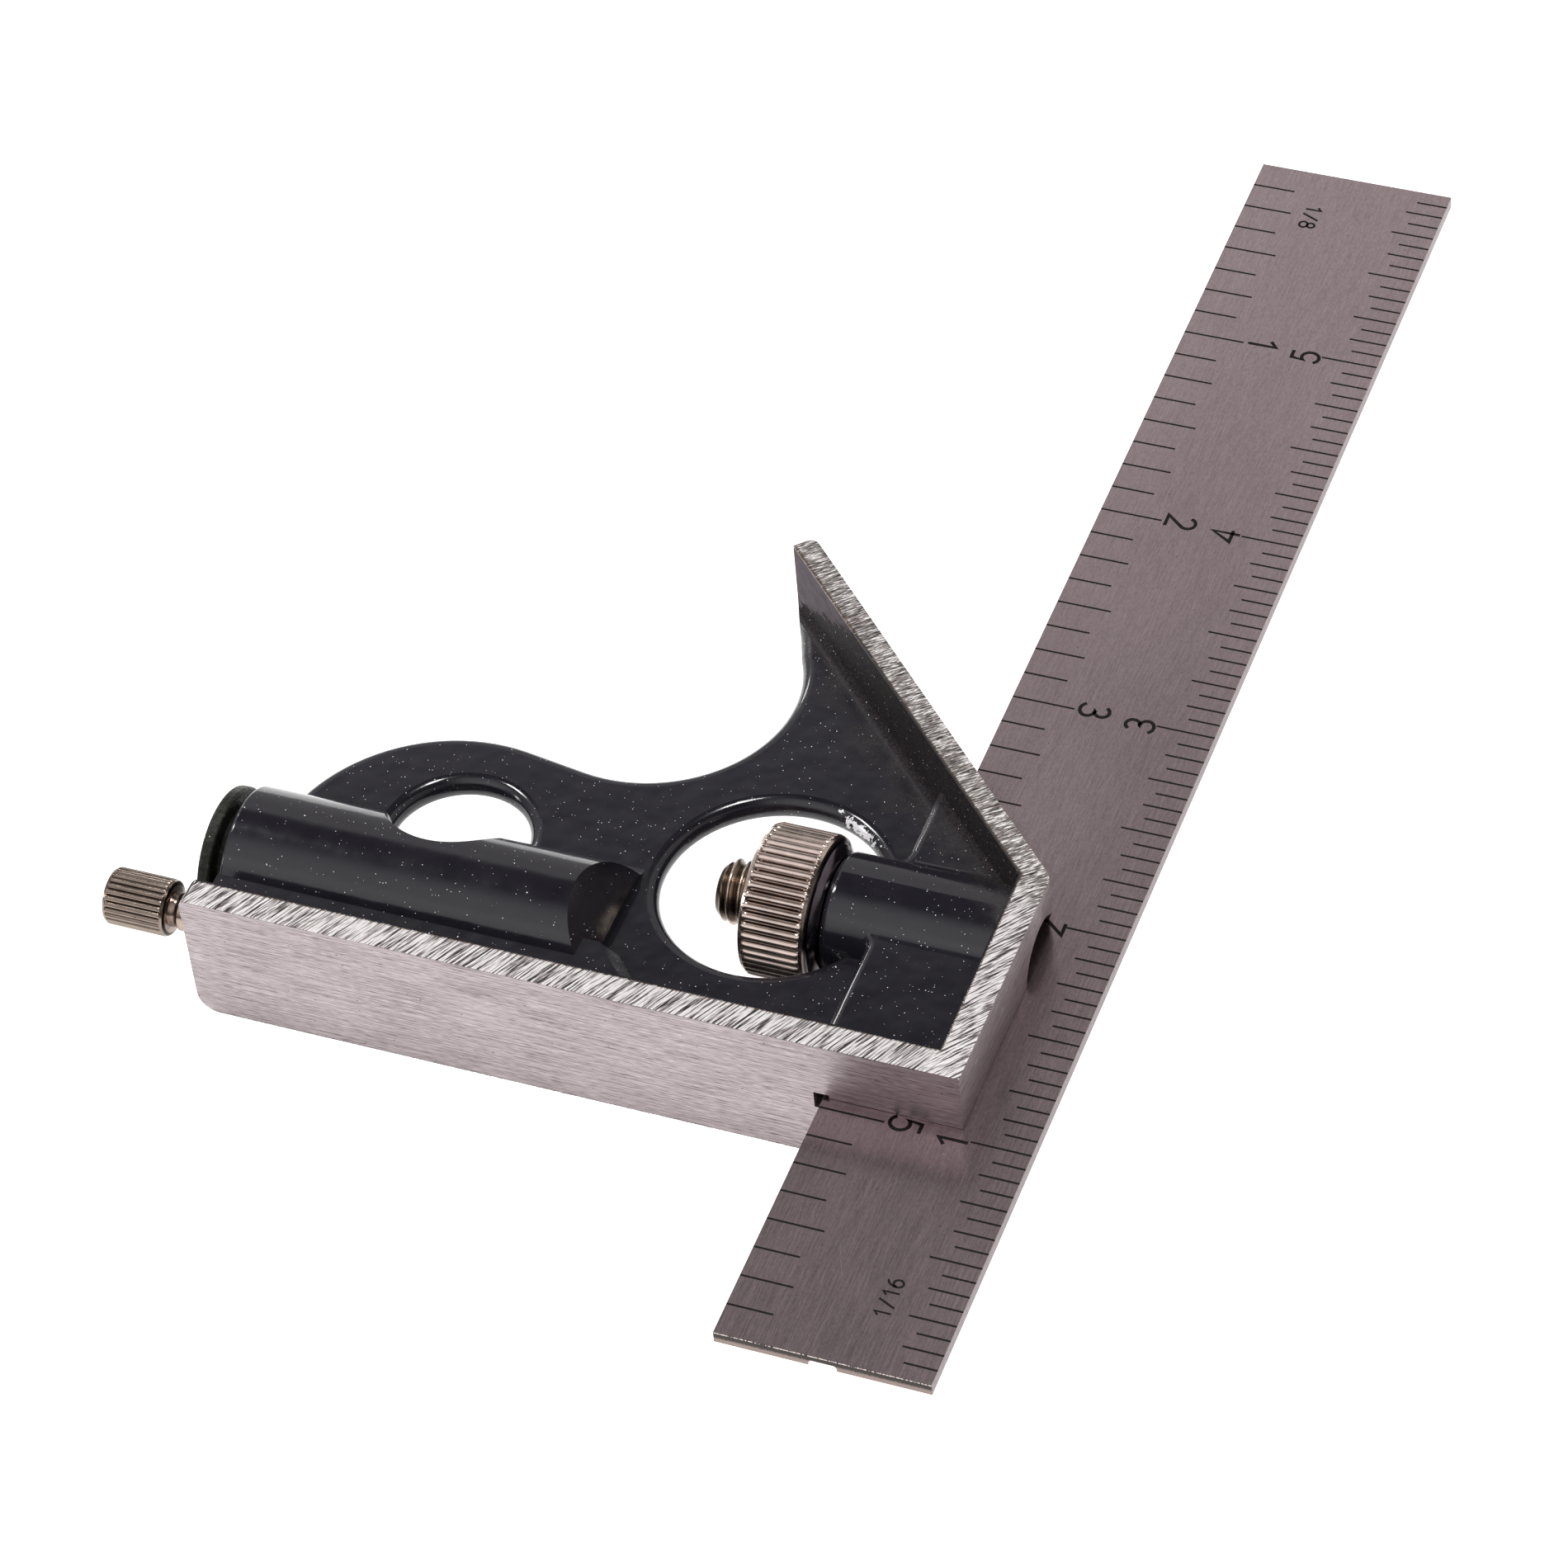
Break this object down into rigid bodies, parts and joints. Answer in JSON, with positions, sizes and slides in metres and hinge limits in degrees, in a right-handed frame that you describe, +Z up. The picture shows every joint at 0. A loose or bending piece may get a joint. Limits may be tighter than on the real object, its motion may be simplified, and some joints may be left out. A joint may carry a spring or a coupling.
{
  "type": "combination square",
  "caption": "Small combination square: cast head with square and mitre faces, sliding graduated blade, knurled clamp nut, spirit level and scriber.",
  "frame": {"origin": "where the blade's bearing edge meets the working face, on the underside of the head as the square lies on its side", "axes": "+X along the working face from the stock's free end to the blade, +Y along the blade away from the working face, +Z up through the head's 14 mm thickness"},
  "size_m": [0.0878, 0.1524, 0.014],
  "materials": {
    "cast_head": "cast light alloy under gloss black enamel, with bare machined rims and faces",
    "blade_steel": "stainless strip with a fine lengthwise grain and black etched graduations",
    "nickel": "bright nickel plate on turned steel",
    "dark_nickel": "dull nickel plate on turned steel",
    "spring_steel": "drawn spring wire",
    "black_plug": "turned black plastic, dull",
    "vial_glass": "clear glass tube",
    "vial_liquid": "yellow-green dyed spirit",
    "plaster": "setting plaster",
    "brass": "turned brass",
    "hard_steel": "hardened ground steel"
  },
  "bodies": {
    "head": {"head_casting": "cast_head", "clamp_spring": "spring_steel", "level_end_plug": "black_plug", "level_vial": "vial_glass", "level_liquid": "vial_liquid", "level_bedding": "plaster", "scriber_bush": "brass"},
    "blade": {"blade": "blade_steel"},
    "bolt": {"clamp_bolt": "nickel"},
    "nut": {"clamp_nut": "nickel"},
    "scriber": {"scriber_head": "dark_nickel", "scriber_needle": "hard_steel"}
  },
  "joints": [
    {"name": "blade_slide", "type": "slide", "parent": "head", "child": "blade", "axis": [0, 1, 0], "range_m": [-0.089, 0.0265]},
    {"name": "nut_turn", "type": "hinge", "parent": "head", "child": "nut", "pos_m": [-0.01, 0.0207, 0.007], "axis": [-1, 0, 0], "range_deg": [0, 288]},
    {"name": "bolt_draw", "type": "slide", "parent": "head", "child": "bolt", "axis": [1, 0, 0], "range_m": [0, 0.0008]},
    {"name": "scriber_slide", "type": "slide", "parent": "head", "child": "scriber", "axis": [-1, 0, 0], "range_m": [0, 0.035]}
  ],
  "couplings": [
    {"joint": "nut_turn", "follows": "bolt_draw", "rad_per_m": 6283.2}
  ]
}
